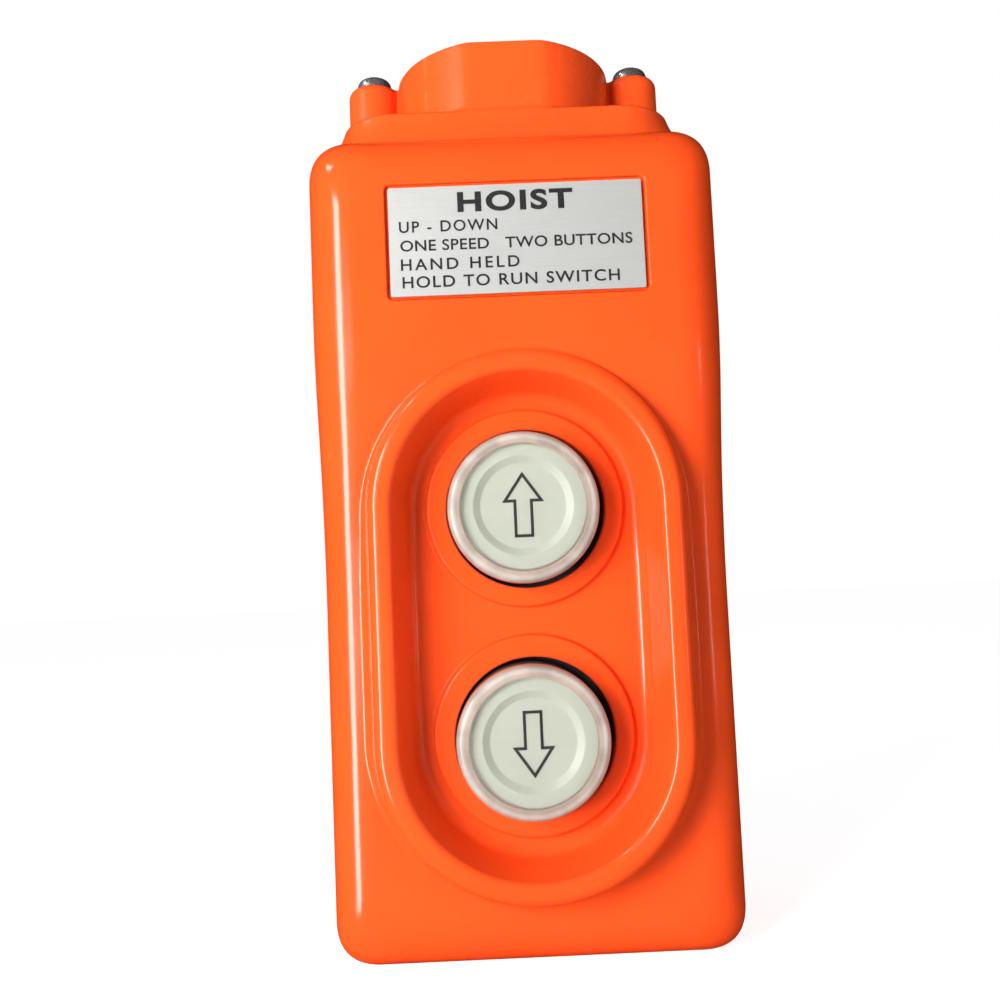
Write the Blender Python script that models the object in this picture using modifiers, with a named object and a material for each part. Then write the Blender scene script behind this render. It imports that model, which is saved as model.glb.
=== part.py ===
"""Two-button hoist pendant: a moulded two-part case, a cable cap, and the switch gear inside.

The pendant stands upright on its flat bottom face.  X is to the right, Y goes into the case
and Z is up.  The cable's axis is the Z axis, and the bottom face is the plane Z = 0.
"""

import math

import bmesh
import bpy
from mathutils import Matrix, Vector

MM = 0.001

# Case, in millimetres until the last step, where everything is multiplied by MM.
CASE_WIDTH = 65.0
CASE_HEIGHT = 130.8
FRONT_Y = -20.0            # face around the buttons
LABEL_FACE_Y = -26.75      # raised face that carries the label
BACK_Y = 24.0
PART_Y = -11.0             # plane where the cover meets the housing
STEP_LOW_Z = 68.0          # the slope between the two faces starts here
STEP_HIGH_Z = 95.0         # and ends here
EDGE_RADIUS = 6.5
WALL = 3.2
GAP = 0.3                  # clearance between pieces that touch

# Guard collar and buttons.
BUTTON_Z = {"down": 35.25, "up": 70.75}
COLLAR_CREST_Y = -27.4
COLLAR_BASE_RADIUS = 25.9
COLLAR_CREST_RADIUS = 23.8
WELL_MOUTH_RADIUS = 20.7
WELL_FLOOR_RADIUS = 18.1
WELL_FLOOR_Y = -18.8
RING_RADIUS = 15.6
BUTTON_HOLE_RADIUS = 12.45
INNER_FACE_Y = -16.5       # back of the cover's front wall, behind the buttons
TRAVEL = 4.0
STACK_X = -0.35            # each button sits a little off the middle of its hole, within its play
STACK_Z = -0.3

# Button stack.
LENS_RADIUS = 11.7
LENS_TOP_Y = -26.3
LENS_WALL = 1.5
LENS_PANE = 0.8
LENS_SKIRT_Y = -14.0
DISH_RADIUS = 7.15
DISH_DEPTH = 0.7
PLUNGER_FLANGE_RADIUS = 13.2
STEM_RADIUS = 6.0
STEM_END_Y = 2.0
GUIDE_BORE = 13.7
GUIDE_RADIUS = 16.8
GUIDE_FLOOR_Y = -1.0
EAR_X = 20.0

# Label.
LABEL_SIZE = (39.4, 17.2)
LABEL_Z = 112.1
LABEL_X = 0.4
LABEL_POCKET = 0.8
LABEL_THICKNESS = 0.35

# Cable cap.
CAP_FOOT_Z = CASE_HEIGHT + GAP
CAP_FLANGE_TOP_Z = 136.8
FLANGE_HALF_WIDTH = 27.6
FLANGE_HALF_DEPTH = 18.05
FLANGE_CORNER = 9.0
FLANGE_FLARE = 3.0
CAP_TOP_Z = 148.7
NECK_RADIUS = 18.85
NECK_FLAT_Y = 17.7
CAP_SCREW_X = 23.2
CAP_HEAD_RADIUS = 3.1
BOSS_RADIUS = 4.6
BOSS_TOP_Z = CAP_TOP_Z + 0.3
CAP_SEAT_Z = BOSS_TOP_Z - 0.7
GLAND_BORE = 11.0
SEAL_GROOVE_DEPTH = 1.3
CABLE_RADIUS = 6.0

# Fixing screws, from the back of the case.
CASE_SCREWS = [(-21.5, 10.5), (21.5, 10.5), (-21.5, 104.0), (21.5, 104.0)]
HEAD_SEAT_Y = 10.0

# Contact block.
BLOCK_Y = (9.0, 15.5)
BLOCK_Z = (16.0, 90.0)
BLOCK_HALF_WIDTH = 20.0
BLOCK_SCREW_Z = (20.5, 85.5)
BRIDGE_DEPTH = 1.3
STRIP_FRONT_Y = STEM_END_Y + GAP + BRIDGE_DEPTH + TRAVEL + GAP
STRIP_Y = (STRIP_FRONT_Y, STRIP_FRONT_Y + 0.8)
TERMINAL_X = 15.5


# ---------------------------------------------------------------- scene and materials

def clear_scene():
    for obj in list(bpy.data.objects):
        bpy.data.objects.remove(obj, do_unlink=True)


def new_collection(name):
    collection = bpy.data.collections.new(name)
    bpy.context.scene.collection.children.link(collection)
    return collection


def finish_material(name, colour, roughness, metallic=0.0, alpha=1.0):
    material = bpy.data.materials.new(name)
    material.use_nodes = True
    shader = material.node_tree.nodes["Principled BSDF"]
    shader.inputs["Base Color"].default_value = (*colour, 1.0)
    shader.inputs["Roughness"].default_value = roughness
    shader.inputs["Metallic"].default_value = metallic
    shader.inputs["Alpha"].default_value = alpha
    material.diffuse_color = (*colour, alpha)
    return material


clear_scene()
PARTS = new_collection("pendant_control_station")
CUTTERS = new_collection("cutters")
ORANGE = (0.90, 0.13, 0.015)
BRASS = (0.78, 0.57, 0.23)
STEEL = (0.72, 0.72, 0.74)
BLACK = (0.02, 0.02, 0.022)


# ---------------------------------------------------------------- building blocks

def add_object(name, bm, colour=None, roughness=0.4, metallic=0.0, alpha=1.0):
    """An object from a bmesh in millimetres. With a colour it is a part, without one a cutter."""
    bmesh.ops.scale(bm, vec=(MM, MM, MM), verts=bm.verts)
    mesh = bpy.data.meshes.new(name)
    bm.to_mesh(mesh)
    bm.free()
    obj = bpy.data.objects.new(name, mesh)
    if colour is None:
        CUTTERS.objects.link(obj)
        obj.hide_render = True
        obj.display_type = "WIRE"
    else:
        PARTS.objects.link(obj)
        mesh.materials.append(finish_material(name, colour, roughness, metallic, alpha))
    return obj


def place(obj, x=0.0, y=0.0, z=0.0, parent=None):
    """Puts an object at a place in the world, in millimetres, under a parent that isn't turned."""
    obj.location = Vector((x, y, z)) * MM
    if parent:
        obj.parent = parent
        obj.location -= parent.location
    return obj


def facing_front(obj):
    """Turns the object so that its own +Z points out of the front, along -Y."""
    obj.rotation_euler = (math.pi / 2, 0.0, 0.0)
    return obj


def settle(obj):
    """Applies a part's modifiers, then shades it smooth with crisp edges."""
    graph = bpy.context.evaluated_depsgraph_get()
    mesh = bpy.data.meshes.new_from_object(obj.evaluated_get(graph))
    obj.modifiers.clear()
    obj.data = mesh
    mesh.shade_smooth()
    mesh.set_sharp_from_angle(angle=math.radians(35))


def box_mesh(low, high):
    bm = bmesh.new()
    bmesh.ops.create_cube(bm, size=1.0)
    size = [h - l for l, h in zip(low, high)]
    centre = [(h + l) / 2 for l, h in zip(low, high)]
    bmesh.ops.scale(bm, vec=size, verts=bm.verts)
    bmesh.ops.translate(bm, vec=centre, verts=bm.verts)
    return bm


def bevel_edges(bm, edges, radius, segments):
    bmesh.ops.bevel(bm, geom=edges, offset=radius, segments=segments, profile=0.5,
                    affect="EDGES", clamp_overlap=True)


def along_y(edge):
    direction = edge.verts[1].co - edge.verts[0].co
    return abs(direction.y) > 0.99 * direction.length


def slab_mesh(half_width, z_range, y_range, radius, centre_x=0.0, segments=6):
    """A plate across Y whose four corners are rounded."""
    bm = box_mesh((centre_x - half_width, y_range[0], z_range[0]),
                  (centre_x + half_width, y_range[1], z_range[1]))
    bevel_edges(bm, [e for e in bm.edges if along_y(e)], radius, segments)
    return bm


def box_part(name, low, high, colour=None, bevel=0.0, **finish):
    bm = box_mesh(low, high)
    if bevel:
        bevel_edges(bm, list(bm.edges), bevel, 2)
    return add_object(name, bm, colour, **finish)


def slab_part(name, half_width, z_range, y_range, radius, colour=None, centre_x=0.0, **finish):
    return add_object(name, slab_mesh(half_width, z_range, y_range, radius, centre_x), colour, **finish)


def turned(name, profile, colour=None, steps=48, closed=False, **finish):
    """A piece turned about its own Z from (radius, height) points, which run down the outer side."""
    bm = bmesh.new()
    points = [bm.verts.new((radius, 0.0, height)) for radius, height in profile]
    for first, second in zip(points, points[1:]):
        bm.edges.new((first, second))
    if closed:
        bm.edges.new((points[-1], points[0]))
    obj = add_object(name, bm, colour, **finish)
    screw = obj.modifiers.new("turn", "SCREW")
    screw.axis = "Z"
    screw.steps = screw.render_steps = steps
    screw.use_merge_vertices = True
    screw.merge_threshold = 0.00001
    return obj


def rod(name, radius, y_range, x, z, steps=16):
    """A plain cylinder along Y, used to cut a hole or to add a post."""
    bm = bmesh.new()
    length = y_range[1] - y_range[0]
    bmesh.ops.create_cone(bm, cap_ends=True, segments=steps, radius1=radius, radius2=radius, depth=length)
    bmesh.ops.rotate(bm, cent=(0, 0, 0), matrix=Matrix.Rotation(math.pi / 2, 3, "X"), verts=bm.verts)
    bmesh.ops.translate(bm, vec=(x, (y_range[0] + y_range[1]) / 2, z), verts=bm.verts)
    return add_object(name, bm)


def upright(name, radius, z_range, x=0.0, y=0.0, steps=18):
    """A plain cylinder along Z, used to cut a hole or to add a post."""
    bm = bmesh.new()
    length = z_range[1] - z_range[0]
    bmesh.ops.create_cone(bm, cap_ends=True, segments=steps, radius1=radius, radius2=radius, depth=length)
    bmesh.ops.translate(bm, vec=(x, y, (z_range[0] + z_range[1]) / 2), verts=bm.verts)
    return add_object(name, bm)


def joined_or_cut(target, tool, operation):
    modifier = target.modifiers.new(tool.name, "BOOLEAN")
    modifier.operation = operation
    modifier.solver = "EXACT"
    modifier.object = tool
    return target


def cut(target, *tools):
    for tool in tools:
        joined_or_cut(target, tool, "DIFFERENCE")
    return target


def join(target, *tools):
    for tool in tools:
        joined_or_cut(target, tool, "UNION")
    return target


def oblong_frustum(name, back_radius, front_radius, back_y, front_y, steps=40):
    """The hull of two coaxial cones, one round each button: an oblong plug whose sides slope."""
    bm = bmesh.new()
    for z in BUTTON_Z.values():
        made = bmesh.ops.create_cone(bm, cap_ends=True, segments=steps, radius1=back_radius,
                                     radius2=front_radius, depth=back_y - front_y)
        turn = Matrix.Rotation(math.pi / 2, 3, "X")
        bmesh.ops.rotate(bm, cent=(0, 0, 0), matrix=turn, verts=made["verts"])
        bmesh.ops.translate(bm, vec=(0, (back_y + front_y) / 2, z), verts=made["verts"])
    hull = bmesh.ops.convex_hull(bm, input=bm.verts)
    inside = {g for g in hull["geom_interior"] + hull["geom_unused"] if isinstance(g, bmesh.types.BMVert)}
    bmesh.ops.delete(bm, geom=list(inside), context="VERTS")
    outer = set(hull["geom"])
    bmesh.ops.delete(bm, geom=[f for f in bm.faces if f not in outer], context="FACES_ONLY")
    bmesh.ops.dissolve_limit(bm, angle_limit=math.radians(1), verts=bm.verts, edges=bm.edges)
    return add_object(name, bm)


# ---------------------------------------------------------------- case

def side_profile_mesh(outline, half_width, open_y, radius, segments=4):
    """A block drawn from the side as (y, z) points. Its edges are rounded, except at open_y."""
    bm = bmesh.new()
    corners = [bm.verts.new((-half_width, y, z)) for y, z in outline]
    side = bm.faces.new(corners)
    swept = bmesh.ops.extrude_face_region(bm, geom=[side])
    moved = [g for g in swept["geom"] if isinstance(g, bmesh.types.BMVert)]
    bmesh.ops.translate(bm, vec=(2 * half_width, 0, 0), verts=moved)
    bmesh.ops.recalc_face_normals(bm, faces=bm.faces)
    rounded = []
    for edge in bm.edges:
        at_opening = all(abs(v.co.y - open_y) < 0.001 for v in edge.verts)
        if not at_opening and edge.calc_face_angle() > math.radians(30):
            rounded.append(edge)
    bevel_edges(bm, rounded, radius, segments)
    return bm


def front_cover():
    back = PART_Y - GAP / 2
    outline = [(back, 0.0), (FRONT_Y, 0.0), (FRONT_Y, STEP_LOW_Z), (LABEL_FACE_Y, STEP_HIGH_Z),
               (LABEL_FACE_Y, CASE_HEIGHT), (back, CASE_HEIGHT)]
    shell = side_profile_mesh(outline, CASE_WIDTH / 2, back, EDGE_RADIUS)
    cover = add_object("front_cover", shell, ORANGE, roughness=0.28)

    deep = LABEL_FACE_Y + WALL
    hollow_outline = [(back + 2.0, WALL), (INNER_FACE_Y, WALL), (INNER_FACE_Y, 90.0), (deep, 100.0),
                      (deep, CASE_HEIGHT - WALL), (back + 2.0, CASE_HEIGHT - WALL)]
    hollow = side_profile_mesh(hollow_outline, CASE_WIDTH / 2 - WALL, back + 2.0, 3.0, 3)
    cut(cover, add_object("cover_hollow", hollow))

    join(cover, oblong_frustum("collar", COLLAR_BASE_RADIUS, COLLAR_CREST_RADIUS, FRONT_Y + 1.5,
                               COLLAR_CREST_Y))
    slant = (WELL_MOUTH_RADIUS - WELL_FLOOR_RADIUS) / (WELL_FLOOR_Y - COLLAR_CREST_Y)
    above = 3.0
    cut(cover, oblong_frustum("well", WELL_FLOOR_RADIUS, WELL_MOUTH_RADIUS + slant * above, WELL_FLOOR_Y,
                              COLLAR_CREST_Y - above))
    for name, z in BUTTON_Z.items():
        join(cover, rod(f"{name}_ring", RING_RADIUS, (FRONT_Y, WELL_FLOOR_Y + 1.0), 0.0, z, 48))
        for side, x in (("left", STACK_X - EAR_X), ("right", STACK_X + EAR_X)):
            join(cover, rod(f"{name}_{side}_post", 3.0, (INNER_FACE_Y - 0.8, -14.0), x, z + STACK_Z))
            cut(cover, rod(f"{name}_{side}_post_hole", 1.5, (-17.6, -13.0), x, z + STACK_Z, 12))
        cut(cover, rod(f"{name}_hole", BUTTON_HOLE_RADIUS, (-30.0, -10.0), 0.0, z, 48))

    pocket = (LABEL_FACE_Y - 2.0, LABEL_FACE_Y + LABEL_POCKET)
    half = LABEL_SIZE[1] / 2 + 1.0
    cut(cover, slab_part("label_pocket", LABEL_SIZE[0] / 2 + 1.0, (LABEL_Z - half, LABEL_Z + half), pocket,
                         1.2, centre_x=LABEL_X))
    for number, (x, z) in enumerate(CASE_SCREWS, 1):
        front = INNER_FACE_Y - 0.8 if z < STEP_HIGH_Z else deep - 0.8
        join(cover, rod(f"cover_post_{number}", 4.6, (front, back), x, z))
        cut(cover, rod(f"cover_insert_hole_{number}", 2.9, (-16.8, back + 1.0), x, z))
    return cover


def rear_housing():
    front = PART_Y + GAP / 2
    outline = [(front, 0.0), (front, CASE_HEIGHT), (BACK_Y, CASE_HEIGHT), (BACK_Y, 0.0)]
    shell = side_profile_mesh(outline, CASE_WIDTH / 2, front, EDGE_RADIUS)
    housing = add_object("rear_housing", shell, ORANGE, roughness=0.32)
    cavity = slab_mesh(CASE_WIDTH / 2 - WALL, (WALL, CASE_HEIGHT - WALL), (front - 2.0, BACK_Y - 3.0), 3.3,
                       segments=4)
    cut(housing, add_object("housing_cavity", cavity))
    for number, (x, z) in enumerate(CASE_SCREWS, 1):
        join(housing, rod(f"housing_post_{number}", 5.0, (front, BACK_Y - 2.0), x, z))
        bore = [(0.0, 1.0 - front), (2.1, 1.0 - front), (2.1, -HEAD_SEAT_Y), (3.8, -HEAD_SEAT_Y),
                (3.8, -1.0 - BACK_Y), (0.0, -1.0 - BACK_Y)]
        cut(housing, place(facing_front(turned(f"housing_screw_bore_{number}", bore, steps=16)), x, 0.0, z))
    cut(housing, upright("cable_hole", 8.0, (CASE_HEIGHT - 6.0, CASE_HEIGHT + 1.0), steps=40))
    for side, x in (("left", -CAP_SCREW_X), ("right", CAP_SCREW_X)):
        join(housing, upright(f"{side}_cap_post", 5.0, (CASE_HEIGHT - 12.0, CASE_HEIGHT - 1.5), x, steps=20))
        cut(housing, upright(f"{side}_cap_insert_hole", 3.5, (CASE_HEIGHT - 10.6, CASE_HEIGHT + 1.0), x))
    for number, z in enumerate(BLOCK_SCREW_Z, 1):
        join(housing, rod(f"block_post_{number}", 4.0, (BLOCK_Y[1] + GAP, BACK_Y - 2.0), 0.0, z))
        cut(housing, rod(f"block_post_hole_{number}", 1.5, (BLOCK_Y[1], BACK_Y - 3.5), 0.0, z, 12))
    cut(housing, seal_ring_mesh("seal_groove", 0.8, 2.4, (front - 1.0, front + 1.6)))
    return housing


def seal_ring_mesh(name, inset_out, inset_in, y_range, colour=None, **finish):
    """A closed band that follows the case's outline, between two distances in from the edge."""
    outer = slab_part(name, CASE_WIDTH / 2 - inset_out, (inset_out, CASE_HEIGHT - inset_out), y_range,
                      EDGE_RADIUS - inset_out, colour, **finish)
    through = (y_range[0] - 1.0, y_range[1] + 1.0)
    inner = slab_part(f"{name}_core", CASE_WIDTH / 2 - inset_in, (inset_in, CASE_HEIGHT - inset_in), through,
                      EDGE_RADIUS - inset_in)
    return cut(outer, inner)


def rating_label():
    back = LABEL_FACE_Y + LABEL_POCKET - GAP
    half = LABEL_SIZE[1] / 2
    return slab_part("rating_label", LABEL_SIZE[0] / 2, (LABEL_Z - half, LABEL_Z + half),
                     (back - LABEL_THICKNESS, back), 0.5, (0.75, 0.75, 0.72), centre_x=LABEL_X,
                     roughness=0.3, metallic=0.4)


# ---------------------------------------------------------------- fasteners

def screw(name, head_radius, head_height, shank_radius, length, steps=12, bits=1):
    """A pan-head screw about its own Z, head up, with the head's underside at height 0."""
    profile = [(0.0, head_height), (head_radius * 0.65, head_height * 0.92), (head_radius, head_height * 0.4),
               (head_radius, 0.0), (shank_radius, 0.0), (shank_radius, -length), (0.0, -length)]
    obj = turned(name, profile, STEEL, steps, roughness=0.25, metallic=1.0)
    long_half, short_half = head_radius * 0.57, head_radius * 0.13
    for number in range(bits):
        half_x, half_y = (long_half, short_half) if number == 0 else (short_half, long_half)
        bit = box_part(f"{name}_slot_{number}", (-half_x, -half_y, head_height * 0.45),
                       (half_x, half_y, head_height * 1.5))
        bit.parent = obj
        cut(obj, bit)
    return obj


def tube(name, outer, inner, z_range, steps=12, colour=BRASS, roughness=0.3, metallic=1.0):
    profile = [(inner, z_range[1]), (outer, z_range[1]), (outer, z_range[0]), (inner, z_range[0])]
    return turned(name, profile, colour, steps, closed=True, roughness=roughness, metallic=metallic)


def case_fasteners():
    for number, (x, z) in enumerate(CASE_SCREWS, 1):
        insert = facing_front(tube(f"housing_insert_{number}", 2.6, 2.0, (-2.35, 2.35)))
        place(insert, x, -14.0, z)
        bolt = screw(f"housing_screw_{number}", 3.2, 2.4, 1.65, 24.5)
        bolt.rotation_euler = (-math.pi / 2, 0.0, 0.0)
        place(bolt, x, HEAD_SEAT_Y + GAP, z)


def cap_fasteners():
    for side, x in (("left", -CAP_SCREW_X), ("right", CAP_SCREW_X)):
        place(tube(f"cap_insert_{side}", 3.2, 2.3, (CASE_HEIGHT - 10.0, CASE_HEIGHT - GAP)), x)
        head = screw(f"cap_screw_{side}", CAP_HEAD_RADIUS, 2.9, 1.9, 25.0, steps=20, bits=2)
        place(head, x, 0.0, CAP_SEAT_Z + GAP)


# ---------------------------------------------------------------- cable cap

def rounded_outline(half_x, half_y, radius, steps=9):
    """Points round a rectangle with rounded corners, anticlockwise."""
    points = []
    for corner, (sign_x, sign_y) in enumerate(((1, 1), (-1, 1), (-1, -1), (1, -1))):
        for index in range(steps + 1):
            angle = math.pi / 2 * (corner + index / steps)
            points.append((sign_x * (half_x - radius) + radius * math.cos(angle),
                           sign_y * (half_y - radius) + radius * math.sin(angle)))
    return points


def cap_flange_mesh():
    """The cap's foot, lofted up from a wide edge to a narrower one with a hollow flare."""
    steps, height = 5, CAP_FLANGE_TOP_Z - CAP_FOOT_Z
    bm = bmesh.new()
    rings = []
    for step in range(steps + 1):
        spread = FLANGE_FLARE * (1 - step / steps) ** 1.4
        outline = rounded_outline(FLANGE_HALF_WIDTH + spread, FLANGE_HALF_DEPTH + 0.6 * spread,
                                  FLANGE_CORNER + 0.8 * spread)
        rings.append([bm.verts.new((x, y, CAP_FOOT_Z + height * step / steps)) for x, y in outline])
    for lower, upper in zip(rings, rings[1:]):
        for index in range(len(lower)):
            after = (index + 1) % len(lower)
            bm.faces.new((lower[index], lower[after], upper[after], upper[index]))
    bm.faces.new(rings[0][::-1])
    bm.faces.new(rings[-1])
    return bm


def cable_cap():
    cap = add_object("cable_cap", cap_flange_mesh(), ORANGE, roughness=0.3)
    neck = upright("neck", NECK_RADIUS, (CAP_FOOT_Z + 1.0, CAP_TOP_Z), steps=60)
    for name, low, high in (("front", -30.0, -NECK_FLAT_Y), ("rear", NECK_FLAT_Y, 30.0)):
        cut(neck, box_part(f"{name}_flat", (-12.0, low, CAP_FOOT_Z), (12.0, high, CAP_TOP_Z + 1.0)))
    join(cap, neck)
    for side, x in (("left", -CAP_SCREW_X), ("right", CAP_SCREW_X)):
        boss = turned(f"{side}_boss", [(0.0, BOSS_TOP_Z), (BOSS_RADIUS - 1.6, BOSS_TOP_Z),
                                       (BOSS_RADIUS - 0.6, BOSS_TOP_Z - 0.4), (BOSS_RADIUS, BOSS_TOP_Z - 1.6),
                                       (BOSS_RADIUS, CAP_FOOT_Z + 1.2), (0.0, CAP_FOOT_Z + 1.2)], steps=22)
        join(cap, place(boss, x))
        inner, outer = sorted((x * 0.7, x))
        join(cap, box_part(f"{side}_web", (inner, -1.6, CAP_FOOT_Z + 1.4), (outer, 1.6, CAP_TOP_Z - 0.3)))
        cut(cap, upright(f"{side}_cap_screw_hole", 2.3, (CAP_FOOT_Z - 1.0, CAP_TOP_Z + 1.0), x))
        cut(cap, upright(f"{side}_cap_head_seat", CAP_HEAD_RADIUS + 0.35, (CAP_SEAT_Z, CAP_TOP_Z + 1.0), x))
    shoulder = CAP_TOP_Z - 3.9
    above, below = CAP_TOP_Z + 1.0, CAP_FOOT_Z - 1.0
    cut(cap, turned("gland_bore", [(0.0, above), (GLAND_BORE, above), (GLAND_BORE, shoulder),
                                   (14.5, shoulder), (14.5, below), (0.0, below)], steps=36))
    groove_top = CAP_FOOT_Z + SEAL_GROOVE_DEPTH
    groove = turned("cap_seal_groove", [(14.9, groove_top), (17.7, groove_top), (17.7, below), (14.9, below)],
                    steps=36, closed=True)
    cut(cap, groove)
    return cap


def cap_seals():
    gasket_z = (CAP_FOOT_Z, CAP_FOOT_Z + SEAL_GROOVE_DEPTH - GAP)
    tube("cap_gasket", 17.4, 15.2, gasket_z, 36, BLACK, roughness=0.75, metallic=0.0)
    shoulder = CAP_TOP_Z - 3.9 - GAP
    profile = [(CABLE_RADIUS, CAP_TOP_Z + 1.0), (GLAND_BORE - 1.0, CAP_TOP_Z + 1.0),
               (GLAND_BORE - GAP, CAP_TOP_Z + 0.3), (GLAND_BORE - GAP, shoulder), (14.2, shoulder),
               (14.2, CAP_FOOT_Z), (CABLE_RADIUS, CAP_FOOT_Z)]
    turned("cable_grommet", profile, BLACK, 36, closed=True, roughness=0.75)


# ---------------------------------------------------------------- buttons

def lens(name):
    bore = LENS_RADIUS - LENS_WALL
    profile = [(0.0, -LENS_TOP_Y), (LENS_RADIUS - 1.0, -LENS_TOP_Y), (LENS_RADIUS - 0.3, -LENS_TOP_Y - 0.3),
               (LENS_RADIUS, -LENS_TOP_Y - 1.0), (LENS_RADIUS, -LENS_SKIRT_Y), (bore, -LENS_SKIRT_Y),
               (bore, -LENS_TOP_Y - LENS_PANE), (0.0, -LENS_TOP_Y - LENS_PANE)]
    return turned(f"{name}_button_lens", profile, (0.90, 0.88, 0.84), 40, roughness=0.08, alpha=0.35)


def legend_insert(name):
    radius = LENS_RADIUS - LENS_WALL - GAP
    top = -LENS_TOP_Y - LENS_PANE - GAP
    profile = [(0.0, top - DISH_DEPTH), (DISH_RADIUS - 0.4, top - DISH_DEPTH), (DISH_RADIUS + 0.4, top),
               (radius - 0.3, top), (radius, top - 0.3), (radius, top - 2.2), (0.0, top - 2.2)]
    return turned(f"{name}_legend_insert", profile, (0.78, 0.79, 0.70), 32, roughness=0.4)


def plunger(name):
    radius = LENS_RADIUS - LENS_WALL - GAP
    top = -LENS_TOP_Y - LENS_PANE - GAP - 2.2 - GAP
    collar = -LENS_SKIRT_Y - GAP
    profile = [(0.0, top), (radius, top), (radius, collar), (PLUNGER_FLANGE_RADIUS, collar),
               (PLUNGER_FLANGE_RADIUS, collar - 1.5), (STEM_RADIUS, collar - 1.5), (STEM_RADIUS, -STEM_END_Y),
               (0.0, -STEM_END_Y)]
    return turned(f"{name}_plunger", profile, (0.05, 0.05, 0.055), 24, roughness=0.5)


def contact_bridge(name):
    front = STEM_END_Y + GAP
    bridge = box_part(f"{name}_contact_bridge", (-12.0, front, -2.5), (12.0, front + 0.8, 2.5),
                      (0.80, 0.50, 0.28), roughness=0.3, metallic=1.0)
    for side, x in (("left", -10.0), ("right", 10.0)):
        tip = rod(f"{name}_{side}_tip", 1.5, (front + 0.4, front + BRIDGE_DEPTH), x, 0.0, 12)
        tip.parent = bridge
        join(bridge, tip)
    return bridge


def shaft_seal(name):
    """The wiping ring that closes the gap round the lens, trapped between the cover and the guide."""
    inner = LENS_RADIUS + GAP
    seal = turned(f"{name}_button_seal", [(inner, -INNER_FACE_Y - GAP), (15.2, -INNER_FACE_Y - GAP),
                                          (15.2, -LENS_SKIRT_Y), (inner, -LENS_SKIRT_Y)],
                  BLACK, 28, closed=True, roughness=0.7)
    return facing_front(seal)


def guide(name, z):
    """The cup that the plunger slides in. Its floor carries the spring, and two ears fix it to the cover."""
    mouth_y = LENS_SKIRT_Y + GAP
    ear_y = (mouth_y + 0.2, mouth_y + 2.0)
    under_y = GUIDE_FLOOR_Y + 1.5
    outside = [(0.0, -mouth_y), (GUIDE_RADIUS, -mouth_y), (GUIDE_RADIUS, -under_y), (0.0, -under_y)]
    cup = facing_front(turned(f"{name}_button_guide", outside, (0.04, 0.04, 0.045), 30, roughness=0.5))
    place(cup, STACK_X, z=z)
    join(cup, slab_part(f"{name}_guide_ears", EAR_X + 3.2, (z - 3.2, z + 3.2), ear_y, 3.1, centre_x=STACK_X))
    front_y = mouth_y - 1.0
    cut(cup, rod(f"{name}_guide_bore", GUIDE_BORE, (front_y, GUIDE_FLOOR_Y), STACK_X, z, 30))
    cut(cup, rod(f"{name}_guide_stem_hole", STEM_RADIUS + 0.4, (front_y, under_y + 1.0), STACK_X, z, 20))
    for side, x in (("left", STACK_X - EAR_X), ("right", STACK_X + EAR_X)):
        cut(cup, rod(f"{name}_{side}_ear_hole", 1.5, (front_y, ear_y[1] + 1.0), x, z, 12))
        bolt = screw(f"{name}_guide_screw_{side}", 2.4, 1.7, 1.15, 5.6)
        bolt.rotation_euler = (-math.pi / 2, 0.0, 0.0)
        place(bolt, x, ear_y[1] + GAP, z)
    return cup


def return_spring(name, z, turns=4.0, coil_radius=8.6, wire_radius=0.45, points_per_turn=9):
    """A coil between the plunger's flange and the guide's floor."""
    start = LENS_SKIRT_Y + 2 * GAP + 1.5 + wire_radius
    end = GUIDE_FLOOR_Y - GAP - wire_radius
    curve = bpy.data.curves.new(f"{name}_return_spring", "CURVE")
    curve.dimensions = "3D"
    curve.bevel_depth = wire_radius * MM
    curve.bevel_resolution = 1
    curve.use_fill_caps = True
    count = int(turns * points_per_turn) + 1
    line = curve.splines.new("POLY")
    line.points.add(count - 1)
    for index, point in enumerate(line.points):
        share = index / (count - 1)
        angle = 2 * math.pi * turns * share
        x, up = coil_radius * math.cos(angle), coil_radius * math.sin(angle)
        point.co = (x * MM, (start + (end - start) * share) * MM, up * MM, 1.0)
    curve.materials.append(finish_material(curve.name, (0.6, 0.6, 0.62), 0.25, 1.0))
    spring = bpy.data.objects.new(curve.name, curve)
    PARTS.objects.link(spring)
    return place(spring, STACK_X, z=z)


def button(name):
    z = BUTTON_Z[name] + STACK_Z
    slide = bpy.data.objects.new(f"{name}_button_slide", None)
    PARTS.objects.link(slide)
    slide.location = Vector((STACK_X, FRONT_Y, z)) * MM
    for piece in (lens(name), legend_insert(name), plunger(name)):
        place(facing_front(piece), STACK_X, z=z, parent=slide)
    place(contact_bridge(name), STACK_X, z=z, parent=slide)
    place(shaft_seal(name), STACK_X, z=z)
    guide(name, z)
    return_spring(name, z)


# ---------------------------------------------------------------- contact block

def contact_block():
    low = (-BLOCK_HALF_WIDTH, BLOCK_Y[0], BLOCK_Z[0])
    high = (BLOCK_HALF_WIDTH, BLOCK_Y[1], BLOCK_Z[1])
    block = box_part("contact_block", low, high, (0.10, 0.045, 0.02), bevel=0.6, roughness=0.45)
    middle = sum(BUTTON_Z.values()) / 2
    join(block, box_part("block_barrier", (-18.0, 4.0, middle - 1.0), (18.0, BLOCK_Y[0] + 1.0, middle + 1.0)))
    for number, z in enumerate(BLOCK_SCREW_Z, 1):
        cut(block, rod(f"block_hole_{number}", 1.9, (BLOCK_Y[0] - 1.0, BLOCK_Y[1] + 1.0), 0.0, z, 12))
        bolt = screw(f"block_screw_{number}", 2.8, 2.0, 1.15, 10.5)
        bolt.rotation_euler = (math.pi / 2, 0.0, 0.0)
        place(bolt, 0.0, BLOCK_Y[0] - GAP, z)
    for name, z in BUTTON_Z.items():
        for side, sign in (("left", -1), ("right", 1)):
            fixed_contact(block, name, side, sign, z)


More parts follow.
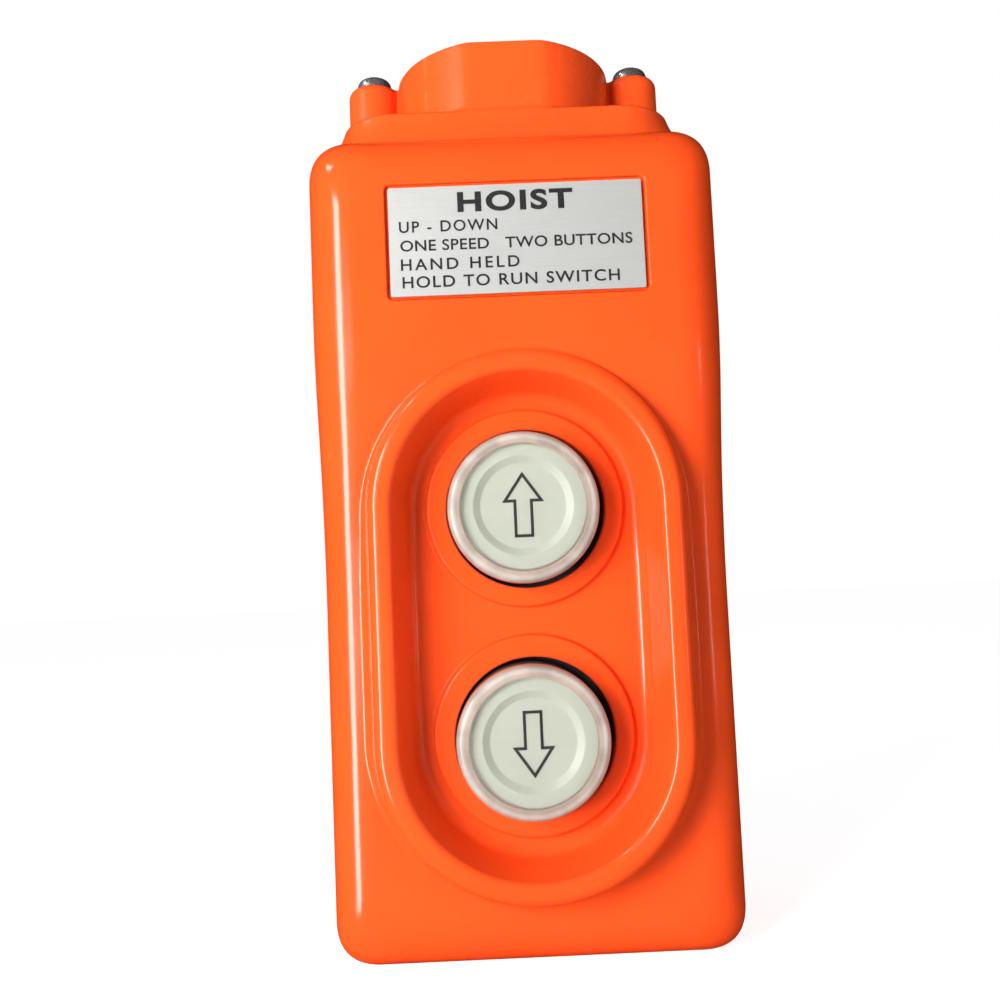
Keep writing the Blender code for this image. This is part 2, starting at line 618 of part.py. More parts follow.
def fixed_contact(block, name, side, sign, z):
    x = sign * TERMINAL_X
    low, high = sorted((sign * 7.5, sign * 19.0))
    strip = box_part(f"{name}_contact_{side}", (low, STRIP_Y[0], z - 3.0), (high, STRIP_Y[1], z + 3.0),
                     (0.78, 0.57, 0.23), roughness=0.3, metallic=1.0)
    cut(strip, rod(f"{name}_{side}_strip_hole", 1.6, (STRIP_Y[0] - 1.0, STRIP_Y[1] + 1.0), x, z, 12))
    cut(block, rod(f"{name}_{side}_terminal_hole", 1.6, (BLOCK_Y[0] - 1.0, BLOCK_Y[1] - 1.2), x, z, 12))
    bolt = screw(f"{name}_terminal_screw_{side}", 2.7, 1.8, 1.2, 5.6)
    bolt.rotation_euler = (math.pi / 2, 0.0, 0.0)
    place(bolt, x, STRIP_Y[0] - GAP, z)


# ---------------------------------------------------------------- assembly

front_cover()
rear_housing()
groove_floor = PART_Y + GAP / 2 + 1.6
seal_ring_mesh("housing_gasket", 1.1, 2.1, (groove_floor - GAP - 1.0, groove_floor - GAP), BLACK,
               roughness=0.75)
rating_label()
case_fasteners()
cable_cap()
cap_fasteners()
cap_seals()
for button_name in BUTTON_Z:
    button(button_name)
contact_block()
for part in list(PARTS.objects):
    if part.type == "MESH":
        settle(part)
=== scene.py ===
"""Finished look of the two-button hoist pendant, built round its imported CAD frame.

The moulded shells are meshed from distance fields, in millimetres, so that every fillet is a real
surface. Turned pieces are lathed from outlines with rounded corners. Colours are linear.
"""

import math

import bmesh
import bpy
import numpy as np
from mathutils import Matrix, Vector


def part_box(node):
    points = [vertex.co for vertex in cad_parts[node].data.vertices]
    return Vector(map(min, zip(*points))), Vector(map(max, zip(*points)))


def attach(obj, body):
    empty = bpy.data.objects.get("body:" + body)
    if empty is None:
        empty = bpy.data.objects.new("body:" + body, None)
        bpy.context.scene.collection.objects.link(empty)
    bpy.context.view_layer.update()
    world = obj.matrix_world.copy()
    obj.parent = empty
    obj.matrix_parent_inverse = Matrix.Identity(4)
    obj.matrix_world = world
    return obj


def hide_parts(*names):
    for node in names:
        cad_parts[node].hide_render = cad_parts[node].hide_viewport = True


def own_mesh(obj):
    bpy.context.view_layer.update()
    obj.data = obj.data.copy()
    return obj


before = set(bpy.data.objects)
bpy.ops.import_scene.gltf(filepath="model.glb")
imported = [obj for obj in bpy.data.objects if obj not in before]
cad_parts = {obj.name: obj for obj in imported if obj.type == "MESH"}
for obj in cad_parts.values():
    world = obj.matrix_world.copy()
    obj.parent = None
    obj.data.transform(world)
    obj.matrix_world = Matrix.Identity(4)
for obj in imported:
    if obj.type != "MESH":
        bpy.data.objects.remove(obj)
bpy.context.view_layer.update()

MM = 0.001


def mm_box(node):
    """Lowest and highest corner of a CAD node, in millimetres."""
    low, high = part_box(node)
    return np.array(low) / MM, np.array(high) / MM


def middle(node):
    low, high = mm_box(node)
    return (low + high) / 2


COVER_LOW, COVER_HIGH = mm_box("front_cover")
HOUSING_LOW, HOUSING_HIGH = mm_box("rear_housing")
CAP_LOW, CAP_HIGH = mm_box("cable_cap")
LENS_LOW, LENS_HIGH = mm_box("up_button_lens")
INSERT_LOW, INSERT_HIGH = mm_box("up_legend_insert")
LABEL_LOW, LABEL_HIGH = mm_box("rating_label")
GROMMET_LOW, GROMMET_HIGH = mm_box("cable_grommet")

# Case. Here and below, sizes are in millimetres, and -Y is the front.
HALF_WIDTH = COVER_HIGH[0]
HALF_HEIGHT = COVER_HIGH[2] / 2
CREST_Y = COVER_LOW[1]
BUTTON_FACE_Y = CREST_Y + 7.4
LABEL_FACE_Y = BUTTON_FACE_Y - 6.75
STEP_Z = (68.0, 95.0)
OUTLINE_SOFTNESS = 7.0
FRONT_ROUND = 7.0
WALL = 3.2
SEAM_ROUND = 0.3
LABEL_POCKET_DEPTH = 0.8
LABEL_POCKET_GAP = 0.5

# Guard collar, well, rings round the buttons, and the holes, which are a little off the rings' middles.
COLLAR_RADIUS = 23.8
COLLAR_DRAFT = 0.25
COLLAR_FILLET = 0.9
COLLAR_FILLET_FADE_Z = (55.0, 92.0)
WELL_RADIUS = 20.7
WELL_DRAFT = 0.30
FLOOR_Y = BUTTON_FACE_Y + 1.2
RING_RADIUS = 15.6
HOLE_RADIUS = 12.45
HOLE_SHIFT_X = 0.15
HOLE_SHIFT_Z = {"up": -0.15, "down": -0.35}
BACK_OF_WALL_Y = -16.5

# Rear housing, its posts and its screws. A bore is a radius, and a cutter's top is above the object.
CASE_SCREWS = [middle(f"housing_screw_{number}") for number in range(1, 5)]
CASE_POST_RADIUS = 5.0
CASE_SHANK_BORE = 2.1
CASE_HEAD_BORE = 3.8
HEAD_SEAT_Y = 10.0
BLOCK_POST_Z = [middle(f"block_screw_{number}")[2] for number in (1, 2)]
BLOCK_POST_RADIUS = 4.0
BLOCK_SEAT_Y = 15.8
HOUSING_TOP_Z = HOUSING_HIGH[2]
HOUSING_FLOOR_Y = HOUSING_HIGH[1] - 3.0
CAP_POST_RADIUS = 5.0
CAP_POST_BORE = 3.5
CABLE_HOLE_RADIUS = 8.0
GASKET_GROOVE_DEPTH = 1.6
CUTTER_TOP_Z = 140.0

# Cable cap. Its foot is settled onto the case, and its screws' heads stand a gap off their seats.
FLANGE_TOP_Z = 136.8
FLANGE_HALF = (27.6, 18.05)
FLANGE_CORNER = 9.0
FLARE = 3.0
NECK_RADIUS = 18.85
FLAT_Y = 17.7
BOSS_X = middle("cap_screw_right")[0]
BOSS_RADIUS = 4.6
BOSS_BORE = 2.3
BOSS_TOP_Z = CAP_HIGH[2]
CAP_TOP_Z = BOSS_TOP_Z - 0.3
CAP_SETTLE = 0.25
CAP_HEAD_RADIUS = 3.1
CAP_HEAD_SEAT_Z = BOSS_TOP_Z - 0.7
SEATED_GAP = 0.3
CHAMBER_RADIUS = 14.5
CHAMBER_TOP_Z = CAP_TOP_Z - 3.9
CAP_GROOVE_RADIUS = 16.3
GLAND_BORE = 11.0
CABLE_RADIUS = 6.0

# Buttons, with how far an insert and its printed arrow are above the button's axis.
BUTTON_Z = {name: middle(f"{name}_button_lens")[2] for name in ("up", "down")}
BUTTON_X = middle("up_button_lens")[0]
HOLE_Z = {name: z + 0.3 for name, z in BUTTON_Z.items()}
LENS_RADIUS = (LENS_HIGH[0] - LENS_LOW[0]) / 2
INSERT_RADIUS = (INSERT_HIGH[0] - INSERT_LOW[0]) / 2
LENS_WALL = 1.5
LENS_PANE = 0.8
DISH_RADIUS = 7.15
DISH_DEPTH = 0.7
INSERT_RISE = {"up": 0.25, "down": 0.0}
ARROW_RISE = {"up": 0.45, "down": -0.35}


# ---------------------------------------------------------------- distance fields, in millimetres

def both(a, b, radius):
    """The overlap of two shapes, with the edge between them rounded."""
    corner = np.hypot(np.maximum(a + radius, 0), np.maximum(b + radius, 0))
    return np.minimum(np.maximum(a, b), -radius) + corner


def either(a, b, radius):
    """Two shapes joined, with a fillet between them."""
    corner = np.hypot(np.maximum(radius - a, 0), np.maximum(radius - b, 0))
    return np.maximum(np.minimum(a, b), radius) - corner


def without(a, b, radius):
    return both(a, -b, radius)


def soft_max(a, b, width):
    """The larger of two distances, blended where they are within a width of each other."""
    near = np.maximum(width - np.abs(a - b), 0)
    return np.maximum(a, b) + near * near / (4 * width)


def soft_min(a, b, width):
    return -soft_max(-a, -b, width)


def from_axis(u, v, u0=0.0, v0=0.0):
    return np.hypot(u - u0, v - v0)


def rounded_rectangle(u, v, half_u, half_v, radius):
    du = np.abs(u) - (half_u - radius)
    dv = np.abs(v) - (half_v - radius)
    return np.hypot(np.maximum(du, 0), np.maximum(dv, 0)) + np.minimum(np.maximum(du, dv), 0) - radius


def case_outline(x, z):
    return soft_max(np.abs(x) - HALF_WIDTH, np.abs(z - HALF_HEIGHT) - HALF_HEIGHT, OUTLINE_SOFTNESS)


def face_profile(y, z):
    """The stepped face seen from the side: the lower face, a slope, and the label face."""
    run, rise = STEP_Z[1] - STEP_Z[0], BUTTON_FACE_Y - LABEL_FACE_Y
    slope = ((BUTTON_FACE_Y - y) * run - (z - STEP_Z[0]) * rise) / math.hypot(run, rise)
    upper = soft_max(LABEL_FACE_Y - y, slope, 1.6)
    return soft_min(BUTTON_FACE_Y - y, upper, 3.0)


def button_spine(x, z):
    """Distance from the line that joins the two buttons' centres."""
    return np.hypot(x, z - np.clip(z, HOLE_Z["down"], HOLE_Z["up"]))


def cover_outside(x, y, z):
    """The cover's skin: the stepped block with the guard collar on it and the well cut into it."""
    share = np.clip((z - STEP_Z[0]) / (STEP_Z[1] - STEP_Z[0]), 0, 1)
    block = both(case_outline(x, z), face_profile(y, z), FRONT_ROUND + share)
    spine = button_spine(x, z)
    collar_side = (spine - COLLAR_RADIUS - COLLAR_DRAFT * (y - CREST_Y)) / math.hypot(1, COLLAR_DRAFT)
    collar = both(collar_side, CREST_Y - y, 1.4)
    fade_low, fade_high = COLLAR_FILLET_FADE_Z
    fade = np.clip((z - fade_low) / (fade_high - fade_low), 0, 1)
    shape = either(block, collar, COLLAR_FILLET - 0.6 * fade)
    well_side = (spine - WELL_RADIUS + WELL_DRAFT * (y - CREST_Y)) / math.hypot(1, WELL_DRAFT)
    return without(shape, both(well_side, y - FLOOR_Y, 1.5), 0.7)


def cover_field(x, y, z):
    """The cover: its skin, the rings, the label's pocket, the hollow behind and the button holes."""
    shape = cover_outside(x, y, z)
    for button_z in HOLE_Z.values():
        ring = both(from_axis(x, z, 0, button_z) - RING_RADIUS, BUTTON_FACE_Y - y, 0.6)
        shape = either(shape, ring, 0.35)
    label_x, label_z = (LABEL_LOW[0] + LABEL_HIGH[0]) / 2, (LABEL_LOW[2] + LABEL_HIGH[2]) / 2
    half = (LABEL_HIGH - LABEL_LOW) / 2 + LABEL_POCKET_GAP
    pocket = rounded_rectangle(x - label_x, z - label_z, half[0], half[2], 0.9)
    shape = without(shape, both(pocket, y - LABEL_FACE_Y - LABEL_POCKET_DEPTH, 0.15), 0.3)
    inside_walls = case_outline(x, z) + WALL
    hollow = np.maximum(BACK_OF_WALL_Y - y, inside_walls)
    behind_label = np.maximum(np.maximum(LABEL_FACE_Y + WALL - y, inside_walls), STEP_Z[1] - z)
    shape = np.maximum(shape, -np.minimum(hollow, behind_label))
    for name, button_z in HOLE_Z.items():
        hole = from_axis(x, z, HOLE_SHIFT_X, button_z + HOLE_SHIFT_Z[name]) - HOLE_RADIUS
        shape = without(shape, hole, 0.4)
    return both(shape, y - COVER_HIGH[1], SEAM_ROUND)


def rod_field(u, v, w, at, radius, span, edge=0.3):
    """A rod along w, with rounded ends."""
    ends = np.abs(w - sum(span) / 2) - (span[1] - span[0]) / 2
    return both(from_axis(u, v, *at) - radius, ends, edge)


def housing_field(x, y, z):
    """The rear half: a tub with posts for all its screws, a cable hole and a gasket groove."""
    outline = case_outline(x, z)
    shape = both(both(outline, y - HOUSING_HIGH[1], 6.0), HOUSING_LOW[1] - y, SEAM_ROUND)
    shape = without(shape, both(outline + WALL, y - HOUSING_FLOOR_Y, 2.0), 0.3)
    case_span = (HOUSING_LOW[1], HOUSING_FLOOR_Y + 1)
    block_span = (BLOCK_SEAT_Y, HOUSING_FLOOR_Y + 1)
    cap_span = (HOUSING_TOP_Z - 12, HOUSING_TOP_Z - 1)
    for screw_x, _, screw_z in CASE_SCREWS:
        shape = np.minimum(shape, rod_field(x, z, y, (screw_x, screw_z), CASE_POST_RADIUS, case_span))
    for post_z in BLOCK_POST_Z:
        shape = np.minimum(shape, rod_field(x, z, y, (0.0, post_z), BLOCK_POST_RADIUS, block_span))
    for boss_x in (-BOSS_X, BOSS_X):
        shape = np.minimum(shape, rod_field(x, y, z, (boss_x, 0.0), CAP_POST_RADIUS, cap_span))
    for screw_x, _, screw_z in CASE_SCREWS:
        reach = from_axis(x, z, screw_x, screw_z)
        pocket = both(reach - CASE_HEAD_BORE, HEAD_SEAT_Y - y, 0.2)
        shape = without(shape, np.minimum(reach - CASE_SHANK_BORE, pocket), 0.35)
    insert_span = (HOUSING_TOP_Z - 10.6, CUTTER_TOP_Z)
    for boss_x in (-BOSS_X, BOSS_X):
        shape = without(shape, rod_field(x, y, z, (boss_x, 0.0), CAP_POST_BORE, insert_span), 0.2)
    cable_span = (HOUSING_TOP_Z - 6.0, CUTTER_TOP_Z)
    shape = without(shape, rod_field(x, y, z, (0.0, 0.0), CABLE_HOLE_RADIUS, cable_span), 0.4)
    groove = both(np.abs(outline + WALL / 2) - 0.8, y - HOUSING_LOW[1] - GASKET_GROOVE_DEPTH, 0.1)
    return without(shape, groove, 0.1)


def cap_field(x, y, z):
    """The cable cap: a flared flange, a round neck with flats, two screw bosses and the gland's chamber."""
    climb = np.clip((z - CAP_LOW[2]) / (FLANGE_TOP_Z - CAP_LOW[2]), 0, 1)
    spread = FLARE * (1 - climb) ** 1.4
    side = rounded_rectangle(x, y, FLANGE_HALF[0] + spread, FLANGE_HALF[1] + 0.6 * spread,
                             FLANGE_CORNER + 0.8 * spread)
    flange = both(0.85 * side, z - FLANGE_TOP_Z, 0.6)
    neck = both(from_axis(x, y) - NECK_RADIUS, z - CAP_TOP_Z, 0.5)
    neck = both(neck, np.abs(y) - FLAT_Y, 0.25)
    shape = either(flange, neck, 0.7)
    reach = np.abs(x)
    boss = both(from_axis(reach, y, BOSS_X, 0.0) - BOSS_RADIUS, z - BOSS_TOP_Z, 1.7)
    web = both(both(np.abs(y) - 1.6, z - CAP_TOP_Z + 0.2, 0.5), np.abs(reach - 19.5) - 3.5, 0.3)
    shape = either(either(shape, boss, 0.7), web, 0.6)
    shape = both(shape, CAP_LOW[2] - CAP_SETTLE - z, 0.1)
    shape = without(shape, from_axis(reach, y, BOSS_X, 0.0) - BOSS_BORE, 0.2)
    seat = both(from_axis(reach, y, BOSS_X, 0.0) - CAP_HEAD_RADIUS - 0.35, CAP_HEAD_SEAT_Z - z, 0.1)
    shape = without(shape, seat, 0.25)
    chamber = both(from_axis(x, y) - CHAMBER_RADIUS, z - CHAMBER_TOP_Z, 0.3)
    shape = without(shape, np.minimum(chamber, from_axis(x, y) - GLAND_BORE), 0.5)
    groove = both(np.abs(from_axis(x, y) - CAP_GROOVE_RADIUS) - 1.4, z - CAP_LOW[2] - 1.3, 0.2)
    return without(shape, groove, 0.1)


def pan_screw_field(head_radius, head_height, shank_radius, length, pitch):
    """A pan-head screw with a cross recess and a rolled thread. The head's underside is at height 0."""
    def field(x, y, z):
        radius = from_axis(x, y)
        dome_radius = (head_radius ** 2 + 0.55 * head_height ** 2) / (1.1 * head_height)
        dome = np.hypot(radius, z - head_height + dome_radius) - dome_radius
        head = both(both(radius - head_radius, dome, 0.6), -z, 0.12)
        turn = np.arctan2(y, x) / (2 * math.pi) - z / pitch
        ridge = np.abs(turn - np.round(turn)) * 4 - 1
        thread = np.clip((-2.0 - z) / 1.5, 0, 1) * 0.09 * shank_radius
        tip = both(radius - shank_radius + thread * (1 + ridge), -length - z, 0.4)
        screw = np.minimum(head, both(tip, z - 0.5, 0.1))
        sunk = np.clip((head_height - z) / head_height, 0, 1)
        arm = head_radius * (0.60 - 0.35 * sunk)
        blade = head_radius * (0.145 - 0.05 * sunk)
        recess = np.minimum(np.maximum(np.abs(x) - arm, np.abs(y) - blade),
                            np.maximum(np.abs(y) - arm, np.abs(x) - blade))
        recess = np.maximum(recess, head_height * 0.25 - z)
        return without(screw, recess, 0.08)
    return field


# ---------------------------------------------------------------- meshing

def surface_net(values, origin, cell):
    """Vertices and quads of a sampled field's zero surface, with one vertex for each crossed cell."""
    inside = values < 0
    sizes = [n - 1 for n in values.shape]
    count = np.zeros(sizes, np.int8)
    for i in (0, 1):
        for j in (0, 1):
            for k in (0, 1):
                count += inside[i:sizes[0] + i, j:sizes[1] + j, k:sizes[2] + k]
    crossed = (count > 0) & (count < 8)
    cells = np.argwhere(crossed)
    number = np.full(crossed.shape, -1, np.int64)
    number[crossed] = np.arange(len(cells))
    total, hits = np.zeros((len(cells), 3)), np.zeros(len(cells))
    quads = []
    for axis in range(3):
        along, u, v = np.roll(np.eye(3, dtype=int), -axis, axis=0)
        for corner in (0 * u, u, v, u + v):
            start = cells + corner
            first, second = values[tuple(start.T)], values[tuple((start + along).T)]
            cut = (first < 0) != (second < 0)
            share = first[cut] / (first[cut] - second[cut])
            total[cut] += start[cut] + share[:, None] * along
            hits[cut] += 1
        ahead = tuple(slice(int(s), None) for s in along)
        behind = tuple(slice(None, -1 if s else None) for s in along)
        edges = np.argwhere(inside[ahead] != inside[behind])
        far = np.array(sizes)
        kept = np.all((edges @ u[:, None] > 0) & (edges @ v[:, None] > 0), axis=1)
        kept &= (edges @ u < far @ u) & (edges @ v < far @ v)
        edges = edges[kept]
        ring = [number[tuple((edges - back).T)] for back in (u + v, v, 0 * u, u)]
        ring = np.stack(ring, axis=1)
        outward = inside[tuple(edges.T)]
        ring[~outward] = ring[~outward][:, ::-1]
        quads.append(ring)
    return origin + cell * total / hits[:, None], np.concatenate(quads)


def gradient(field, points, step=0.02):
    slopes = []
    for axis in np.eye(3) * step:
        ahead, behind = points + axis, points - axis
        slopes.append((field(*ahead.T) - field(*behind.T)) / (2 * step))
    return np.stack(slopes, axis=1)


def settle_on_surface(field, points, cell, rounds=4):
    """Moves points along the field's slope until they lie where it is 0."""
    for _ in range(rounds):
        slope = gradient(field, points)
        move = field(*points.T)[:, None] * slope / np.maximum((slope ** 2).sum(1), 0.25)[:, None]
        reach = np.linalg.norm(move, axis=1, keepdims=True)
        points = points - move * np.minimum(1.0, 0.5 * cell / np.maximum(reach, 1e-9))
    return points


def moulded(name, field, low, high, cell, flat_angle=0.6, tile=5.0):
    """A closed mesh of the surface where the field is 0, with the field's own normals.

    Flat stretches are merged into faces no larger than a tile: neighbouring tiles have different
    material numbers while faces are merged, and all have the same number afterwards.
    """
    axes = [np.arange(l - 1.37 * cell, h + 2 * cell, cell) for l, h in zip(low, high)]
    grid = np.meshgrid(*axes, indexing="ij")
    values = field(*grid)
    points, quads = surface_net(values, np.array([a[0] for a in axes]), cell)
    points = settle_on_surface(field, points, cell)
    mesh = bpy.data.meshes.new(name)
    mesh.from_pydata(points * MM, [], quads.tolist())
    parity = np.floor(points[quads].mean(axis=1) / tile).astype(int) % 2
    mesh.polygons.foreach_set("material_index", (parity @ [1, 2, 4]).astype(np.int32))
    bm = bmesh.new()
    bm.from_mesh(mesh)
    bmesh.ops.dissolve_limit(bm, angle_limit=math.radians(flat_angle), verts=bm.verts, edges=bm.edges,
                             delimit={"MATERIAL"})
    bmesh.ops.triangulate(bm, faces=[f for f in bm.faces if len(f.verts) > 4])
    for face in bm.faces:
        face.material_index = 0
    bm.to_mesh(mesh)
    bm.free()
    kept = np.zeros(len(mesh.vertices) * 3)
    mesh.vertices.foreach_get("co", kept)
    normals = gradient(field, kept.reshape(-1, 3) / MM)
    normals /= np.maximum(np.linalg.norm(normals, axis=1, keepdims=True), 1e-9)
    mesh.shade_smooth()
    mesh.normals_split_custom_set_from_vertices(normals.tolist())
    obj = bpy.data.objects.new(name, mesh)
    bpy.context.scene.collection.objects.link(obj)
    return obj


def new_piece(name, bm):
    """An object from a bmesh in millimetres, shaded smooth with crisp edges."""
    bmesh.ops.recalc_face_normals(bm, faces=bm.faces)
    bmesh.ops.scale(bm, vec=(MM, MM, MM), verts=bm.verts)
    mesh = bpy.data.meshes.new(name)
    bm.to_mesh(mesh)
    bm.free()
    mesh.shade_smooth()
    mesh.set_sharp_from_angle(angle=math.radians(32))
    obj = bpy.data.objects.new(name, mesh)
    bpy.context.scene.collection.objects.link(obj)
    return obj


# ---------------------------------------------------------------- turned pieces

def rounded_loop(corners, steps=6):
    """A closed outline from (radius, height, rounding) corners, with an arc at each rounded one."""
    points = []
    for index, (u, v, rounding) in enumerate(corners):
        here = Vector((u, v))
        before = Vector(corners[index - 1][:2]) - here
        after = Vector(corners[(index + 1) % len(corners)][:2]) - here
        if rounding == 0:
            points.append((u, v))
            continue
        half = before.angle(after) / 2
        back_off = rounding / math.tan(half)
        first, last = here + before.normalized() * back_off, here + after.normalized() * back_off
        centre = here + (before.normalized() + after.normalized()).normalized() * rounding / math.sin(half)
        start, sweep = first - centre, (first - centre).angle_signed(last - centre)
        for step in range(steps + 1):
            arm = start.copy()
            arm.rotate(Matrix.Rotation(-sweep * step / steps, 2))
            points.append(tuple(centre + arm))
    return points


def facing_front(z):
    """Turned about a button's line at height z; a turned piece's height points out of the front."""
    return lambda u, v, height: (BUTTON_X + u, -height, z + v)


def upright(u, v, height):
    """Turned about the cable's line."""
    return u, v, height


def lathe(name, outline, place, steps=112):
    """A closed mesh turned from a loop of (radius, height) points."""
    bm = bmesh.new()
    angles = [2 * math.pi * index / steps for index in range(steps)]
    rings = []
    for radius, height in outline:
        around = angles if radius > 0 else [0.0]
        spots = [place(radius * math.cos(angle), radius * math.sin(angle), height) for angle in around]
        rings.append([bm.verts.new(spot) for spot in spots])
    for first, second in zip(rings, rings[1:] + rings[:1]):
        for index in range(steps if len(first) + len(second) > 2 else 0):
            after = index + 1
            corners = [first[index % len(first)], first[after % len(first)],
                       second[after % len(second)], second[index % len(second)]]
            bm.faces.new(dict.fromkeys(corners))
    return new_piece(name, bm)


def button_lens(name, z):
    radius, bore = LENS_RADIUS, LENS_RADIUS - LENS_WALL
    top, skirt, pane = -LENS_LOW[1], -LENS_HIGH[1], -LENS_LOW[1] - LENS_PANE
    corners = [(0, top, 0), (radius - 0.1, top, 1.1), (radius, top - 2.5, 0.4), (radius, skirt, 0.2),
               (bore, skirt, 0.15), (bore, pane, 0.3), (0, pane, 0)]
    return lathe(name, rounded_loop(corners), facing_front(z))


def legend_insert(name, z):
    radius, top, back = INSERT_RADIUS, -INSERT_LOW[1], -INSERT_HIGH[1]
    floor = top - DISH_DEPTH
    corners = [(0, floor, 0), (DISH_RADIUS - 0.55, floor, 0.7), (DISH_RADIUS + 0.55, top, 0.5),
               (radius, top, 0.35), (radius, back, 0.2), (0, back, 0)]
    return lathe(name, rounded_loop(corners), facing_front(z))


def cable_grommet():
    foot, top = GROMMET_LOW[2], GROMMET_HIGH[2]
    shoulder = CHAMBER_TOP_Z - 0.3
    corners = [(CABLE_RADIUS, top, 0.5), (GLAND_BORE - 0.3, top, 0.7), (GLAND_BORE - 0.3, shoulder, 0.3),
               (14.2, shoulder, 0.4), (14.2, foot, 0.4), (CABLE_RADIUS, foot, 0.6)]
    return lathe("grommet", rounded_loop(corners), upright)


# ---------------------------------------------------------------- springs, arrows and lettering

def coil_spring(name, z, turns=5.0, wire=0.45, steps=150, sides=12):
    """A compression spring whose first and last turns lie flat."""
    low, high = mm_box(f"{name}_return_spring")
    radius = (high[0] - low[0]) / 2 - wire
    bm = bmesh.new()
    rings = []
    for index in range(steps + 1):
        share = index / steps
        angle = 2 * math.pi * turns * share
        rise = min(max((share * turns - 0.75) / (turns - 1.5), 0), 1)
        y = low[1] + wire + (high[1] - low[1] - 2 * wire) * rise
        ring = []
        for side in range(sides):
            turn = 2 * math.pi * side / sides
            reach = radius + wire * math.cos(turn)
            ring.append(bm.verts.new((BUTTON_X + reach * math.cos(angle), y + wire * math.sin(turn),
                                      z + reach * math.sin(angle))))
        rings.append(ring)
    for first, second in zip(rings, rings[1:]):
        for side in range(sides):
            after = (side + 1) % sides
            bm.faces.new((first[side], first[after], second[after], second[side]))
    bm.faces.new(rings[0])
    bm.faces.new(rings[-1][::-1])
    return new_piece(f"{name}_spring", bm)


def rating_plate(corner=0.35, edge=0.05):
    """The label: a thin sheet with slightly rounded corners and softened edges."""
    bm = bmesh.new()
    bmesh.ops.create_cube(bm, size=1.0)
    bmesh.ops.scale(bm, vec=LABEL_HIGH - LABEL_LOW, verts=bm.verts)
    bmesh.ops.translate(bm, vec=(LABEL_LOW + LABEL_HIGH) / 2, verts=bm.verts)
    through = [e for e in bm.edges if abs(e.verts[0].co.y - e.verts[1].co.y) > 0.1]
    bmesh.ops.bevel(bm, geom=through, offset=corner, segments=5, profile=0.5, affect="EDGES")
    rims = [e for e in bm.edges if e.calc_face_angle() > math.radians(60)]
    bmesh.ops.bevel(bm, geom=rims, offset=edge, segments=3, profile=0.5, affect="EDGES")
    return new_piece("label_plate", bm)


def inward(points, distance):
    """A closed outline moved in by a distance, keeping its corners sharp."""
    moved = []
    for index, here in enumerate(points):
        before, after = points[index - 1], points[(index + 1) % len(points)]
        first, second = (here - before).normalized(), (after - here).normalized()
        normal_1, normal_2 = Vector((-first.y, first.x)), Vector((-second.y, second.x))
        mitre = (normal_1 + normal_2).normalized()
        moved.append(here + mitre * distance / mitre.dot(normal_1))
    return moved


def arrow(name, z, direction, height=10.1, width=6.5, shaft=3.0, head=4.7, line=0.46, ink=0.05):
    """An outlined arrow printed on the floor of the insert's dish."""
    tip, barb, foot = height / 2, height / 2 - head, -height / 2
    outline = [(0, tip), (-width / 2, barb), (-shaft / 2, barb), (-shaft / 2, foot),
               (shaft / 2, foot), (shaft / 2, barb), (width / 2, barb)]
    outer = [Vector(point) for point in outline]
    inner = inward(outer, line)
    face_y = INSERT_LOW[1] + DISH_DEPTH
    bm = bmesh.new()
    loops = []
    for points, y in ((outer, face_y - ink), (inner, face_y - ink), (inner, face_y), (outer, face_y)):
        loops.append([bm.verts.new((BUTTON_X + direction * p.x, y, z + direction * p.y)) for p in points])
    for first, second in zip(loops, loops[1:] + loops[:1]):
        for index in range(len(outer)):
            after = (index + 1) % len(outer)
            bm.faces.new((first[index], first[after], second[after], second[index]))
    return new_piece(name, bm)


def lettering(name, words, left, top, width, cap_height, weight=0.0, spacing=1.15, ink=0.04):
    """Printed words on the label. Left and top are measured from the label's upper left corner."""
    text = bpy.data.curves.new(name, "FONT")
    text.body = words
    text.offset = weight
    text.space_character = spacing
    text.extrude = 0.5
    text.resolution_u = 6
    words_obj = bpy.data.objects.new(name, text)
    bpy.context.scene.collection.objects.link(words_obj)
    graph = bpy.context.evaluated_depsgraph_get()
    bm = bmesh.new()
    bm.from_mesh(bpy.data.meshes.new_from_object(words_obj.evaluated_get(graph)))
    bpy.data.objects.remove(words_obj)
    bmesh.ops.remove_doubles(bm, verts=bm.verts, dist=1e-5)
    spots = np.array([v.co for v in bm.verts])
    low, high = spots.min(0), spots.max(0)
    for vert in bm.verts:
        share = (np.array(vert.co) - low) / (high - low)
        vert.co = (LABEL_LOW[0] + left + width * share[0], LABEL_LOW[1] - ink * share[2],
                   LABEL_HIGH[2] - top - cap_height * (1 - share[1]))
    return new_piece(name, bm)


# ---------------------------------------------------------------- materials

